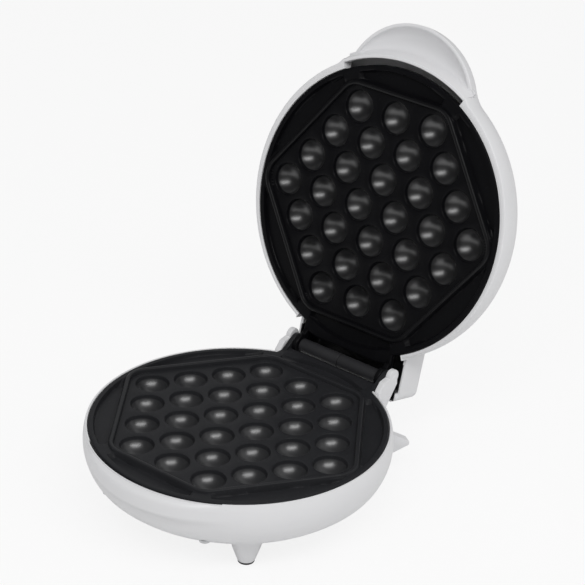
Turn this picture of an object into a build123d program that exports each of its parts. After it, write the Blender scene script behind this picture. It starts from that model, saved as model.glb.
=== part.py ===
from build123d import *
import math
import os

os.makedirs("parts", exist_ok=True)

# Lengths are in millimetres and angles in degrees.
# The base is modelled with the face of its cooking plate at z = 0, handle side to -Y, hinge to +Y.
# The lid is modelled shut, with its own plate face at z = 0, and is then swung open about the hinge pin.

# Cooking plates
plate_radius = 100.0
plate_thickness = 5.0
plate_edge_round = 1.0
web_depth = 1.0
cup_pitch_across = 31.0
cup_pitch_along = 22.0
cup_rows = (3, 4, 5, 6, 5, 4, 3)
cup_radius = 11.5
cup_depth = 9.5
cup_floor_radius = 4.6
cup_waist_radius = 9.2
cup_waist_depth = 6.0
cup_wall = 2.4
cup_back_sides = 12
cavity_to_flat = 80.5
cavity_to_side = 78.5
cavity_corner = 14.0
ridge_width = 3.5
ridge_height = 1.8
pocket_radius = 96.5
pocket_depth = 3.0
pocket_half_flat = 35.0
pocket_long_end = 47.0
pocket_short_end = 39.0
pocket_corner = 2.0
post_x = 42.0
post_y = 81.5
post_radius = 4.2
post_length = 9.0

# Hinge
open_angle = 104.76
pin_y = 109.24
pin_z = 0.55
pin_radius = 2.5
pin_clearance = 0.1
pin_end_gap = 0.2
shut_gap = 3.9
sleeve_radius = 5.0
sleeve_half_length = 34.0
sleeve_split = 0.3
sleeve_edge = 0.5
side_gap = 0.3
lid_lug_width = 3.5
lid_lug_radius = 7.5
base_lug_width = 3.3
base_lug_radius = 7.0
lug_root = 6.0
tongue_gap = 0.34
tongue_corner = 3.0
ear_gap = 0.4
ear_width = 4.8
ear_radius = 8.0
ear_forward = 0.7
ear_rise = 4.0
ear_edge = 1.0
ear_outline = ((94.8, 0.6), (93.0, -20.0), (100.0, -24.0), (106.6, -13.0), (108.0, -8.0))

# Base housing
wall = 2.6
base_depth = 48.5
base_arcs = ((2900.0, 1.13), (57.8, 43.0), (17.6, 60.0))
base_side_radius = 34.9
rim_drop = 0.4
plate_fit = 0.4
seat_gap = 0.2
seat_width = 2.0
seat_thickness = 3.0
thumb_lip_half_width = 58.0
thumb_lip_radius = 87.5
thumb_lip_reach = 107.8
thumb_lip_top = 1.2
thumb_lip_bottom = 15.5
thumb_lip_top_round = 4.0
thumb_lip_bottom_round = 3.5
thumb_lip_gap = 2.2
ground = 60.0
foot_radius = 6.0
front_foot_taper = 18.0
rear_foot_taper = 5.0
foot_root = 20.0
front_foot_x = 53.0
front_foot_y = 53.0
pad_radius = 5.6
pad_stand = 1.5
pad_stem_length = 6.0
pad_fit = 0.15
wrap_angle = 57.7
wrap_width = 8.0
wrap_reach = 122.5
wrap_top = 33.4
wrap_tip = 3.0
wrap_slope = 30.0
wrap_bottom = 46.5
wrap_inset = 14.0
wrap_rise = 7.0
wrap_edge = 1.0

# Screws and the parts that they hold
screw_radius = 1.7
screw_fit = 0.1
screw_head_radius = 3.6
screw_head_height = 2.2
screw_seat = 33.0
screw_bite = 6.0
screw_passage = 0.4
head_passage = 0.3
boss_wall = 2.2
spacer_length = 4.0
spacer_wall = 2.2
nut_height = 3.2
nut_across = 7.0
stud_radius = 2.0
stud_end = 1.4
tray_thickness = 0.8
tray_radius = 95.6
tray_step_outer = 85.5
tray_step_inner = 80.0
tray_hole = 14.0
touch = 0.1

# Heating
heater_ring_radius = 58.0
heater_width = 7.0
heater_height = 6.6
heater_chamfer = 1.8
heater_sweep = 320.0
heater_pin_radius = 1.6
heater_pin_length = 9.0
heater_pin_angle = 24.0
heater_pin_passage = 1.0

# Lid housing
lid_height = 41.0
lid_arcs = ((560.0, 8.3), (27.3, 76.0))
lid_side_radius = 36.0
lid_forward = 1.5
handle_y = -76.5
handle_height = 32.0
handle_arcs = ((150.0, 17.2), (12.5, 76.0))
handle_side_radius = 42.0
handle_rim = 9.5
handle_wall = 2.3
lip_inner = 104.7
lip_wall = 2.3
lip_half_width = 50.5
lip_draft = 14.0
hump_back = 125.4
hump_top = 32.4
hump_bottom = 5.4
hump_front = 80.0
hump_corner = 8.0
hump_side_round = 4.0
hump_wall = 2.9
hump_side_gap = 0.5
lid_notch_y = 85.0
lid_screw_x = 26.0
lid_screw_y = 97.2
lid_screw_head = 3.0
lid_screw_length = 16.0
lid_screw_sink = 2.4
lid_boss_radius = 4.6

# Lamps in the lid
lamp_x = 13.0
lamp_y = -70.0
lens_radius = 4.5
lens_flange = 1.3
lens_flange_thickness = 1.2
lens_wall = 1.4
lens_low = 30.0
lens_flange_z = 31.9
lens_top = 38.2
lamp_radius = 2.6
lamp_length = 7.5
holder_length = 54.0
holder_width = 12.0
holder_thickness = 2.0
holder_corner = 3.0
holder_z = 25.5
holder_post_x = 22.5
holder_post_radius = 2.6

# Electrical parts in the base
gland_depth = 30.0
gland_face = 102.5
gland_radius = 6.4
gland_bore = 3.6
gland_flange = 1.8
gland_flange_thickness = 2.4
gland_panel = 3.0
gland_boss_wall = 2.2
terminal_width = 30.0
terminal_length = 16.0
terminal_height = 13.0
terminal_y = 46.0
terminal_seat = 43.5
terminal_seat_width = 20.0
terminal_seat_length = 12.0
terminal_hole = 2.2
terminal_pitch = 10.0
thermostat_radius = 8.0
thermostat_height = 8.5
thermostat_x = 24.0
blade_width = 6.3
blade_thickness = 0.8
blade_length = 8.0
blade_pitch = 8.0
fuse_radius = 2.4
fuse_length = 12.0
fuse_x = -24.0
fuse_lead_radius = 0.6
fuse_lead_length = 6.0

# Heights and widths that follow from the sizes above
lid_lug_start = sleeve_half_length + side_gap
lid_lug_end = lid_lug_start + lid_lug_width
base_lug_start = lid_lug_end + side_gap
base_lug_end = base_lug_start + base_lug_width
ear_start = base_lug_end + ear_gap
hump_half_width = ear_start - hump_side_gap
tongue_y = pin_y - lid_lug_radius - tongue_gap
seat_low = plate_thickness + seat_gap
post_end = plate_thickness + post_length
tray_top = post_end + touch
spacer_top = tray_top + tray_thickness + touch
boss_top = spacer_top + spacer_length + touch
cup_back = web_depth + cup_depth + cup_wall
heater_top = cup_back + touch
heater_low = heater_top + heater_height
tray_floor = heater_low + touch
under_tray = tray_floor + tray_thickness + touch
head_bore = screw_head_radius + head_passage
lamp_low = holder_z + holder_thickness + touch
far = 300.0

# The slanted sides of the hexagon run parallel to the slanted lines of cups.
side_normal = math.atan2(cup_pitch_across / 2, cup_pitch_along)


def turned_solid(height, arcs, side_radius, end_z, inset=0.0):
    """A solid of revolution about Z: tangent arcs from the crown down, each turning the normal further."""
    edges = []
    angle = 0.0
    centre = (0.0, height - arcs[0][0])
    point = (0.0, height - inset)
    for step, (arc_radius, end_angle) in enumerate(arcs):
        radius = arc_radius - inset
        middle = math.radians((angle + end_angle) / 2)
        end = math.radians(end_angle)
        via = (centre[0] + radius * math.sin(middle), centre[1] + radius * math.cos(middle))
        stop = (centre[0] + radius * math.sin(end), centre[1] + radius * math.cos(end))
        edges.append(ThreePointArc(point, via, stop))
        following = arcs[step + 1][0] if step + 1 < len(arcs) else side_radius
        centre = (
            centre[0] + (arc_radius - following) * math.sin(end),
            centre[1] + (arc_radius - following) * math.cos(end),
        )
        point = stop
        angle = end_angle
    radius = side_radius - inset
    last = math.acos((end_z - centre[1]) / radius)
    middle = (math.radians(angle) + last) / 2
    via = (centre[0] + radius * math.sin(middle), centre[1] + radius * math.cos(middle))
    stop = (centre[0] + radius * math.sin(last), end_z)
    edges.append(ThreePointArc(point, via, stop))
    edges.append(Polyline(stop, (0.0, end_z), (0.0, height - inset)))
    return revolve(Plane.XZ * make_face(edges), Axis.Z)


def disc(radius, low, high, x=0.0, y=0.0):
    """An upright cylinder between two heights."""
    return Pos(x, y, (low + high) / 2) * Cylinder(radius, high - low)


def cone(low_radius, high_radius, low, high, x=0.0, y=0.0):
    """An upright cone between two heights."""
    return Pos(x, y, (low + high) / 2) * Cone(low_radius, high_radius, high - low)


def rod(radius, low, high, y=0.0, z=0.0):
    """A cylinder along X between two places."""
    return Pos((low + high) / 2, y, z) * (Rot(0, 90, 0) * Cylinder(radius, high - low))


def plug(radius, low, high, x=0.0, z=0.0):
    """A cylinder along Y between two places."""
    return Pos(x, (low + high) / 2, z) * (Rot(90, 0, 0) * Cylinder(radius, high - low))


def block(x, y, z):
    """A box given by its low and high limits on each axis."""
    size = [limits[1] - limits[0] for limits in (x, y, z)]
    middle = [(limits[0] + limits[1]) / 2 for limits in (x, y, z)]
    return Pos(*middle) * Box(*size)


def post_places():
    """The middle of each of the four posts of a plate."""
    return [(x, y) for x in (-post_x, post_x) for y in (-post_y, post_y)]


def cup_places():
    """The middle of each cup: seven staggered rows, from the handle side to the hinge."""
    middle_row = (len(cup_rows) - 1) / 2
    places = []
    for row, count in enumerate(cup_rows):
        for cup in range(count):
            x = (cup - (count - 1) / 2) * cup_pitch_across
            places.append((x, (row - middle_row) * cup_pitch_along))
    return places


def hexagon(grow):
    """The hexagon of the batter cavity, grown outwards, with rounded corners, as a flat face."""
    flat = cavity_to_flat + grow
    side = cavity_to_side + grow
    tip_x = side / math.cos(side_normal)
    flat_x = (side - flat * math.sin(side_normal)) / math.cos(side_normal)
    corners = [(tip_x, 0), (flat_x, flat), (-flat_x, flat), (-tip_x, 0), (-flat_x, -flat), (flat_x, -flat)]
    outline = make_face(Polyline(*corners, close=True))
    return fillet(outline.vertices(), cavity_corner + grow)


def pocket(distance, normal_angle, low_end, high_end):
    """One overflow pocket: the segment between a side of the ridge and the pocket circle."""
    start = distance + pocket_corner
    width = high_end - low_end - 2 * pocket_corner
    band = Pos(start + pocket_radius / 2, (low_end + high_end) / 2) * Rectangle(pocket_radius, width)
    core = Circle(pocket_radius - pocket_corner) & (Rot(0, 0, normal_angle) * band)
    outline = offset(core, pocket_corner)
    return Pos(0, 0, -pocket_depth) * extrude(outline, pocket_depth + ridge_height)


def pockets():
    """Six pockets, one beyond each side of the hexagon."""
    tilt = math.degrees(side_normal)
    side = cavity_to_side + ridge_width
    flat = cavity_to_flat + ridge_width
    return [
        pocket(side, tilt, -pocket_long_end, pocket_short_end),
        pocket(side, 180 - tilt, -pocket_short_end, pocket_long_end),
        pocket(side, 180 + tilt, -pocket_long_end, pocket_short_end),
        pocket(side, -tilt, -pocket_short_end, pocket_long_end),
        pocket(flat, 90, -pocket_half_flat, pocket_half_flat),
        pocket(flat, -90, -pocket_half_flat, pocket_half_flat),
    ]


def cup_hollow(x, y):
    """One cup: a bowl of two tapered rings and a flat floor, sunk from the web."""
    waist = -web_depth - cup_waist_depth
    floor = -web_depth - cup_depth
    upper = cone(cup_waist_radius, cup_radius, waist, -web_depth, x, y)
    lower = cone(cup_floor_radius, cup_waist_radius, floor, waist, x, y)
    return upper + lower


def cup_boss(x, y):
    """The back of a cup: a tapered boss with flat sides under the plate."""
    root = cup_radius + cup_wall
    end = cup_floor_radius + 2 * cup_wall
    high = Pos(x, y, -plate_thickness) * RegularPolygon(root, cup_back_sides, major_radius=False)
    low = Pos(x, y, -cup_back) * RegularPolygon(end, cup_back_sides, major_radius=False)
    return loft([high, low], ruled=True)


def cooking_plate(tongue_half_width):
    """A cast plate, face at z = 0: web, thirty cups, sealing ridge, six pockets, posts and rear tongue."""
    body = disc(plate_radius, -plate_thickness, 0)
    body += block((-tongue_half_width, tongue_half_width), (0, tongue_y), (-plate_thickness, 0))
    corners = body.edges().filter_by(Axis.Z).group_by(Axis.Y)[-1]
    body = fillet(corners, tongue_corner)
    rim = body.faces().sort_by(Axis.Z)[-1].outer_wire().edges()
    body = fillet(rim, plate_edge_round)
    body += extrude(hexagon(ridge_width), ridge_height)
    body += [cup_boss(x, y) for x, y in cup_places()]
    body += [disc(post_radius, -post_end, -plate_thickness, x, y) for x, y in post_places()]
    web = Pos(0, 0, -web_depth) * extrude(hexagon(0), web_depth + ridge_height)
    return body - web - pockets() - [cup_hollow(x, y) for x, y in cup_places()]


def lug(x_low, x_high, radius, root_low):
    """A hinge lug across X: a round eye on the pin with an arm that tapers to the plate's rear edge."""
    eye = Pos(pin_y, pin_z) * Circle(radius)
    root_high = root_low + plate_thickness
    back = tongue_y - lug_root
    corners = [(back, root_high), (back, root_low + plate_thickness / 2), (tongue_y, root_low), (tongue_y, root_high)]
    arm = make_face(Polyline(*corners, close=True))
    side = make_hull((eye + arm).edges()) - Pos(pin_y, pin_z) * Circle(pin_radius + pin_clearance)
    under_arm = Pos(pin_y - radius - far / 2, root_low - far / 2) * Rectangle(far, far)
    return Pos(x_low, 0, 0) * extrude(Plane.YZ * (side - under_arm), x_high - x_low)


def make_base_plate():
    """The lower plate, with its two outer hinge lugs and the pilot holes in its posts."""
    plate = cooking_plate(base_lug_end)
    for x, y in post_places():
        plate -= disc(screw_radius + screw_fit, -post_end, -post_end + screw_bite + 1, x, y)
    for low in (base_lug_start, -base_lug_end):
        plate += lug(low, low + base_lug_width, base_lug_radius, -plate_thickness)
    return plate


def make_lid_plate():
    """The upper plate, face down at z = 0 with its back up, with its two inner hinge lugs and its studs."""
    plate = mirror(cooking_plate(lid_lug_end), Plane.XY)
    for low in (lid_lug_start, -lid_lug_end):
        plate += Pos(0, 0, -shut_gap) * lug(low, low + lid_lug_width, lid_lug_radius, shut_gap)
    for x, y in post_places():
        plate += disc(stud_radius, post_end, spacer_top + nut_height + stud_end, x, y)
    for x in (-lid_screw_x, lid_screw_x):
        plate -= disc(lid_screw_head + screw_fit, 0, lid_screw_sink, x, lid_screw_y)
        plate -= disc(screw_radius + screw_fit, 0, plate_thickness, x, lid_screw_y)
    return plate


def heater_pin_places():
    """The middle of each cold pin, near the two ends of the heater ring at the hinge side."""
    angles = [math.radians(90 + turn) for turn in (-heater_pin_angle, heater_pin_angle)]
    return [(heater_ring_radius * math.cos(a), heater_ring_radius * math.sin(a)) for a in angles]


def make_tray():
    """A pressed reflector tray for the base: a flange on the posts, a step and a floor under the heater."""
    points = [
        (tray_radius, -tray_top),
        (tray_step_outer, -tray_top),
        (tray_step_inner, -tray_floor),
        (tray_hole, -tray_floor),
        (tray_hole, -tray_floor - tray_thickness),
        (tray_step_inner + tray_thickness, -tray_floor - tray_thickness),
        (tray_step_outer + tray_thickness, -tray_top - tray_thickness),
        (tray_radius, -tray_top - tray_thickness),
    ]
    tray = revolve(Plane.XZ * make_face(Polyline(*points, close=True)), Axis.Z)
    for x, y in post_places():
        tray -= disc(stud_radius + screw_passage, -tray_top - tray_thickness, -tray_top, x, y)
    for x, y in heater_pin_places():
        tray -= disc(heater_pin_radius + heater_pin_passage, -tray_floor - tray_thickness, -tray_floor, x, y)
    return tray


def make_heater():
    """A pressed tubular heater for the base: an open ring with its gap at the hinge, and two cold pins."""
    middle = -(heater_top + heater_low) / 2
    section = Pos(heater_ring_radius, middle) * Rectangle(heater_width, heater_height)
    section = chamfer(section.vertices(), heater_chamfer)
    ring = revolve(Plane.XZ * section, Axis.Z, heater_sweep)
    ring = Rot(0, 0, 90 + (360 - heater_sweep) / 2) * ring
    for x, y in heater_pin_places():
        ring += disc(heater_pin_radius, -heater_low - heater_pin_length, middle, x, y)
    return ring


def feet():
    """Each foot's middle and taper: two in front, and two below the rear screws."""
    return [
        (front_foot_x, -front_foot_y, front_foot_taper),
        (-front_foot_x, -front_foot_y, front_foot_taper),
        (post_x, post_y, rear_foot_taper),
        (-post_x, post_y, rear_foot_taper),
    ]


def thumb_lip():
    """The band that bulges from the front of the base, a crescent in plan with rounded edges."""
    centre_y = thumb_lip_radius - thumb_lip_reach
    band = disc(thumb_lip_radius, -thumb_lip_bottom, -thumb_lip_top, 0, centre_y)
    band = band & block((-far, far), (-far, -plate_radius / 3), (-far, far))
    edges = band.edges().filter_by(GeomType.CIRCLE).sort_by(Axis.Z)
    band = fillet(edges[-1], thumb_lip_top_round)
    edges = band.edges().filter_by(GeomType.CIRCLE).sort_by(Axis.Z)
    return fillet(edges[0], thumb_lip_bottom_round)


def cord_wrap():
    """One upright fin at the rear of the base, round which the cord is wound for storage."""
    root = plate_radius - wall
    corners = [
        (root, -wrap_top + (wrap_reach - root) * math.tan(math.radians(wrap_slope))),
        (wrap_reach, -wrap_top),
        (wrap_reach, -wrap_top - wrap_tip),
        (root, -wrap_bottom),
        (root - wrap_inset, -wrap_bottom + wrap_rise),
    ]
    side = make_face(Polyline(*corners, close=True))
    fin = extrude(Plane.XZ * side, wrap_width / 2, both=True)
    outer = [edge for edge in fin.edges() if edge.center().X > plate_radius]
    return fillet(outer, wrap_edge)


def hinge_ear(x_low):
    """One ear of the base housing: a rounded upright plate that keeps the end of the pin."""
    top = Pos(pin_y - ear_forward, pin_z + ear_rise) * Circle(ear_radius)
    side = make_hull((top + make_face(Polyline(*ear_outline, close=True))).edges())
    ear = extrude(Plane.YZ * side, ear_width)
    rims = ear.edges() - ear.edges().filter_by(Axis.X)
    return Pos(x_low, 0, 0) * fillet(rims, ear_edge)


def make_base_housing():
    """The bowl: shell with a seat for the plate, thumb lip, ears, feet, wrap fins, bosses and cord outlet."""
    flip = Rot(180, 0, 0)
    shell = flip * turned_solid(base_depth, base_arcs, base_side_radius, rim_drop)
    hollow = flip * turned_solid(base_depth, base_arcs, base_side_radius, rim_drop, wall)
    body = shell + thumb_lip()
    for x, y, taper in feet():
        spread = (ground - pad_stand - foot_root) * math.tan(math.radians(taper))
        body += cone(foot_radius, foot_radius + spread, -ground + pad_stand, -foot_root, x, y)
    for turn in (wrap_angle, 180 - wrap_angle):
        body += Rot(0, 0, turn) * cord_wrap()
    body -= hollow & block((-far, far), (-far, far), (-far, -seat_low - seat_thickness))
    body -= disc(plate_radius - seat_width, -seat_low - seat_thickness, -seat_low)
    body -= disc(plate_radius + plate_fit, -seat_low, far)
    front_gap = disc(plate_radius + thumb_lip_gap, -seat_low, far)
    body -= front_gap & block((-thumb_lip_half_width, thumb_lip_half_width), (-far, 0), (-far, far))
    body -= block((-ear_start, ear_start), (lid_notch_y, far), (-seat_low, far))
    body += [hinge_ear(ear_start), hinge_ear(-ear_start - ear_width)]
    gland_seat = gland_radius + gland_flange + pad_fit
    body += plug(gland_seat + gland_boss_wall, 0, gland_face, 0, -gland_depth) - hollow
    body -= plug(gland_seat, 0, gland_face - gland_panel, 0, -gland_depth)
    body -= plug(gland_radius + pad_fit, 0, far, 0, -gland_depth)
    for x, y in post_places():
        body += disc(screw_head_radius + boss_wall, -base_depth, -boss_top, x, y) & shell
    seat_x = (-terminal_seat_width / 2, terminal_seat_width / 2)
    seat_y = (terminal_y - terminal_seat_length / 2, terminal_y + terminal_seat_length / 2)
    body += block(seat_x, seat_y, (-base_depth, -terminal_seat)) & shell
    for x, y in post_places():
        body -= disc(screw_radius + screw_passage, -ground, -boss_top, x, y)
        body -= disc(head_bore, -ground, -screw_seat, x, y)
    for x in (-front_foot_x, front_foot_x):
        body -= disc(head_bore, -ground, -ground + pad_stand + pad_stem_length, x, -front_foot_y)
    return body


def make_foot_pads():
    """Four rubber buttons, each with a stem in the bore of its foot."""
    pads = []
    face = -ground + pad_stand - touch
    for x, y, taper in feet():
        stem = disc(head_bore - pad_fit, face, face + pad_stem_length, x, y)
        pads.append(disc(pad_radius, -ground, face, x, y) + stem)
    return pads


def make_base_screws():
    """Four screws, up through the housing, the spacers and the tray into the posts of the plate."""
    screws = []
    for x, y in post_places():
        head = disc(screw_head_radius, -screw_seat - screw_head_height, -screw_seat - touch, x, y)
        screws.append(head + disc(screw_radius, -screw_seat - touch, -post_end + screw_bite, x, y))
    return screws


def make_spacers():
    """Four tubes that hold the tray against the posts."""
    low = -spacer_top - spacer_length
    bore = screw_radius + screw_passage
    return [
        disc(bore + spacer_wall, low, -spacer_top, x, y) - disc(bore, low, -spacer_top, x, y)
        for x, y in post_places()
    ]


def make_cord_gland():
    """A bushing in the rear wall with a groove for the wall and a bore for the cord."""
    depth = -gland_depth
    flange = gland_radius + gland_flange
    outer_face = gland_face + touch
    inner_face = gland_face - gland_panel - touch
    outer = plug(flange, outer_face, outer_face + gland_flange_thickness, 0, depth)
    neck = plug(gland_radius, inner_face, outer_face, 0, depth)
    inner = plug(flange, inner_face - gland_flange_thickness, inner_face, 0, depth)
    return outer + neck + inner - plug(gland_bore, 0, far, 0, depth)


def make_terminal_block():
    """A block with three wire holes along Y and three screw holes from above."""
    low = -terminal_seat + touch
    high = low + terminal_height
    half = terminal_width / 2
    front = terminal_y - terminal_length / 2
    body = block((-half, half), (front, front + terminal_length), (low, high))
    for x in (-terminal_pitch, 0, terminal_pitch):
        body -= plug(terminal_hole, front, front + terminal_length, x, low + terminal_height / 3)
        body -= disc(terminal_hole, high - terminal_height / 3, high, x, terminal_y)
    return body


def make_thermostat():
    """A round snap-disc thermostat against the tray's floor, with two blade terminals below."""
    low = -under_tray - thermostat_height
    body = disc(thermostat_radius, low, -under_tray, thermostat_x, 0)
    across = (thermostat_x - blade_width / 2, thermostat_x + blade_width / 2)
    for y in (-blade_pitch / 2, blade_pitch / 2):
        body += block(across, (y - blade_thickness / 2, y + blade_thickness / 2), (low - blade_length, low))
    return body


def make_thermal_fuse():
    """A thermal cut-off lying along Y under the tray's floor, with a lead at each end."""
    z = -under_tray - fuse_radius
    half = fuse_length / 2
    leads = plug(fuse_lead_radius, -half - fuse_lead_length, half + fuse_lead_length, fuse_x, z)
    return plug(fuse_radius, -half, half, fuse_x, z) + leads


def make_sleeve(low, high):
    """One of the two loose sleeves that roll on the pin between the lid's lugs."""
    bore = rod(pin_radius + pin_clearance, low, high, pin_y, pin_z)
    roller = rod(sleeve_radius, low, high, pin_y, pin_z)
    return chamfer(roller.edges().filter_by(GeomType.CIRCLE), sleeve_edge) - bore


def make_pin():
    """The hinge pin, through all four lugs and both sleeves, kept by the ears at its ends."""
    end = ear_start - pin_end_gap
    return rod(pin_radius, -end, end, pin_y, pin_z)


def hump(inset):
    """The box that covers the hinge from behind, with its rear corners rounded."""
    half = hump_half_width - inset
    body = block((-half, half), (hump_front, hump_back - inset), (hump_bottom, hump_top - inset))
    top = body.edges().filter_by(Axis.X).sort_by(Axis((0, 0, 0), (0, 1, 1)))[-1]
    body = fillet(top, hump_corner - inset)
    sides = body.edges().filter_by(Axis.Z).group_by(Axis.Y)[-1]
    return fillet(sides, hump_side_round - inset)


def make_lid_housing():
    """The lid: dome, handle with its finger hollow, lip in front of the plate, and hump over the hinge."""
    forward = Pos(0, -lid_forward, 0)
    dome = forward * turned_solid(lid_height, lid_arcs, lid_side_radius, 0)
    hollow = forward * turned_solid(lid_height, lid_arcs, lid_side_radius, 0, wall)
    place = Pos(0, handle_y, 0)
    handle = place * turned_solid(handle_height, handle_arcs, handle_side_radius, handle_rim)
    handle_hollow = place * turned_solid(handle_height, handle_arcs, handle_side_radius, handle_rim, handle_wall)
    lip_outer = lip_inner + lip_wall
    lip_end = lip_outer + far * math.tan(math.radians(lip_draft))
    lip_cone = cone(lip_outer, lip_end, 0, far)
    inside_lip = disc(lip_inner, -1, far)
    lip_x = (-lip_half_width - 1, lip_half_width + 1)
    lip = (lip_cone - inside_lip) & block(lip_x, (-far, 0), (0, handle_rim + 1))
    skin = dome + handle + hump(0)
    body = skin + lip
    body -= hump(hump_wall) - dome
    body -= hollow & block((-far, far), (-far, far), (seat_low + seat_thickness, far))
    body -= handle_hollow & inside_lip
    body -= handle_hollow - lip_cone
    body -= disc(plate_radius - seat_width, seat_low, seat_low + seat_thickness)
    body -= disc(plate_radius + plate_fit, -1, seat_low)
    gap_x = (-lip_half_width, lip_half_width)
    body -= inside_lip & block(gap_x, (-far, -plate_radius / 2), (-far, handle_rim + 1))
    body -= block((-ear_start, ear_start), (lid_notch_y, far), (-1, hump_bottom))
    for x in (-lid_screw_x, lid_screw_x):
        body += disc(lid_boss_radius, hump_bottom, lid_height, x, lid_screw_y) & skin
        body -= disc(screw_radius + screw_fit, 0, lid_screw_length, x, lid_screw_y)
    for x in (-holder_post_x, holder_post_x):
        body += disc(holder_post_radius, lamp_low, lid_height, x, lamp_y) & skin
    for x in (-lamp_x, lamp_x):
        body -= disc(lens_radius + pad_fit, lens_low, far, x, lamp_y)
    return body


def make_lid_screws():
    """Two countersunk screws through the plate's rear tongue into the lid housing."""
    screws = []
    for x in (-lid_screw_x, lid_screw_x):
        head = disc(lid_screw_head, touch, lid_screw_sink - touch, x, lid_screw_y)
        screws.append(head + disc(screw_radius, touch, lid_screw_length - 1, x, lid_screw_y))
    return screws


def make_nuts():
    """Four nuts that hold the lid's tray on the studs of the plate."""
    nuts = []
    for x, y in post_places():
        blank = Pos(x, y, spacer_top) * RegularPolygon(nut_across / 2, 6, major_radius=False)
        hole = disc(stud_radius + touch, spacer_top, spacer_top + nut_height, x, y)
        nuts.append(extrude(blank, nut_height) - hole)
    return nuts


def make_lamp_holder():
    """A strip under the two lamps, against two posts of the lid."""
    half = holder_length / 2
    sides = (lamp_y - holder_width / 2, lamp_y + holder_width / 2)
    strip = block((-half, half), sides, (holder_z, holder_z + holder_thickness))
    return fillet(strip.edges().filter_by(Axis.Z), holder_corner)


def make_lens(x):
    """A lens in the lid's top: a hollow cap with a flange inside the shell."""
    cap = disc(lens_radius, lens_low, lens_top, x, lamp_y)
    cap = fillet(cap.edges().filter_by(GeomType.CIRCLE).sort_by(Axis.Z)[-1], lens_wall)
    cap += disc(lens_radius + lens_flange, lens_flange_z, lens_flange_z + lens_flange_thickness, x, lamp_y)
    return cap - disc(lens_radius - lens_wall, lens_low, lens_top - lens_wall, x, lamp_y)


def make_lamp(x):
    """A small lamp that stands on the holder inside its lens."""
    lamp = disc(lamp_radius, lamp_low, lamp_low + lamp_length, x, lamp_y)
    return fillet(lamp.edges().filter_by(GeomType.CIRCLE).sort_by(Axis.Z)[-1], lamp_radius / 2)


base_nodes = {
    "base_housing": [make_base_housing()],
    "foot_pads": make_foot_pads(),
    "base_plate": [make_base_plate()],
    "base_heater": [make_heater()],
    "base_reflector": [make_tray()],
    "base_spacers": make_spacers(),
    "base_screws": make_base_screws(),
    "cord_gland": [make_cord_gland()],
    "terminal_block": [make_terminal_block()],
    "thermostat": [make_thermostat()],
    "thermal_fuse": [make_thermal_fuse()],
    "hinge_pin": [make_pin()],
    "hinge_sleeve_left": [make_sleeve(-sleeve_half_length, -sleeve_split / 2)],
    "hinge_sleeve_right": [make_sleeve(sleeve_split / 2, sleeve_half_length)],
}
lid_nodes = {
    "lid_housing": [make_lid_housing()],
    "lid_plate": [make_lid_plate()],
    "lid_heater": [mirror(make_heater(), Plane.XY)],
    "lid_reflector": [mirror(make_tray(), Plane.XY)],
    "lid_nuts": make_nuts(),
    "lid_screws": make_lid_screws(),
    "lamp_holder": [make_lamp_holder()],
    "power_lens": [make_lens(-lamp_x)],
    "ready_lens": [make_lens(lamp_x)],
    "power_lamp": [make_lamp(-lamp_x)],
    "ready_lamp": [make_lamp(lamp_x)],
}

# The lid is lifted by the shut gap and swung open about the pin.
swing = Pos(0, pin_y, pin_z) * Rot(-open_angle, 0, 0) * Pos(0, -pin_y, shut_gap - pin_z)
nodes = dict(base_nodes)
for name, solids in lid_nodes.items():
    nodes[name] = [swing * solid for solid in solids]

# The origin goes to the middle of the whole object's box, on the surface that it stands on.
box = Compound([solid for solids in nodes.values() for solid in solids]).bounding_box()
shift_y = -(box.min.Y + box.max.Y) / 2
shift_z = ground
to_origin = Pos(0, shift_y, shift_z)

for name, solids in nodes.items():
    placed = [to_origin * solid for solid in solids]
    shape = placed[0] if len(placed) == 1 else Compound(placed)
    export_step(shape, f"parts/{name}.step")

print("open box", box.size, "shift", shift_y, shift_z)
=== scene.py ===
import math
import bmesh
import bpy
import numpy as np
from mathutils import Matrix, Vector


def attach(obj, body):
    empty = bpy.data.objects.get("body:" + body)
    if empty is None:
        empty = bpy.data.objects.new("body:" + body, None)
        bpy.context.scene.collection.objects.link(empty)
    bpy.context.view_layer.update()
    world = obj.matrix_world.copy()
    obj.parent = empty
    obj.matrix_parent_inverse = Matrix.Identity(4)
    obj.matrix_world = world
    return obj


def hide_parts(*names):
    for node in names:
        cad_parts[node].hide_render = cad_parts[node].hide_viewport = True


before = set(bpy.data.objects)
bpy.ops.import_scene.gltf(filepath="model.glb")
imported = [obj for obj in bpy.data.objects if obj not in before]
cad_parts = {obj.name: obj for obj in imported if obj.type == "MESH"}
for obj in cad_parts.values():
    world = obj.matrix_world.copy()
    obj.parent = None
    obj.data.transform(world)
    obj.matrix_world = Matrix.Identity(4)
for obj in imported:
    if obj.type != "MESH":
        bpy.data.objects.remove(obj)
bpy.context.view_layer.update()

# The studio corner: a long lens set back to the right of the handle side and a little above, over one
# pale sweep of card. One long soft lamp hangs above and in front, and the bright room gives the rest of the
# light.
bpy.context.scene.view_settings.view_transform = "Standard"
camera_place = Vector((0.81216, -1.02120, 0.82235))
camera_azimuth = math.radians(38.263)
camera_elevation = math.radians(27.617)
camera_roll = math.radians(2.061)
lens_length = 137.05
sensor_width = 36.0
forward = Vector((
    -math.sin(camera_azimuth) * math.cos(camera_elevation),
    math.cos(camera_azimuth) * math.cos(camera_elevation),
    -math.sin(camera_elevation),
))
level = forward.cross(Vector((0, 0, 1))).normalized()
upright = level.cross(forward)
to_right = level * math.cos(camera_roll) + upright * math.sin(camera_roll)
to_top = upright * math.cos(camera_roll) - level * math.sin(camera_roll)
camera = bpy.data.objects.new("camera", bpy.data.cameras.new("camera"))
camera_turn = Matrix((to_right, to_top, -forward)).transposed()
camera.matrix_world = Matrix.Translation(camera_place) @ camera_turn.to_4x4()
camera.data.lens = lens_length
camera.data.sensor_width = sensor_width
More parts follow.
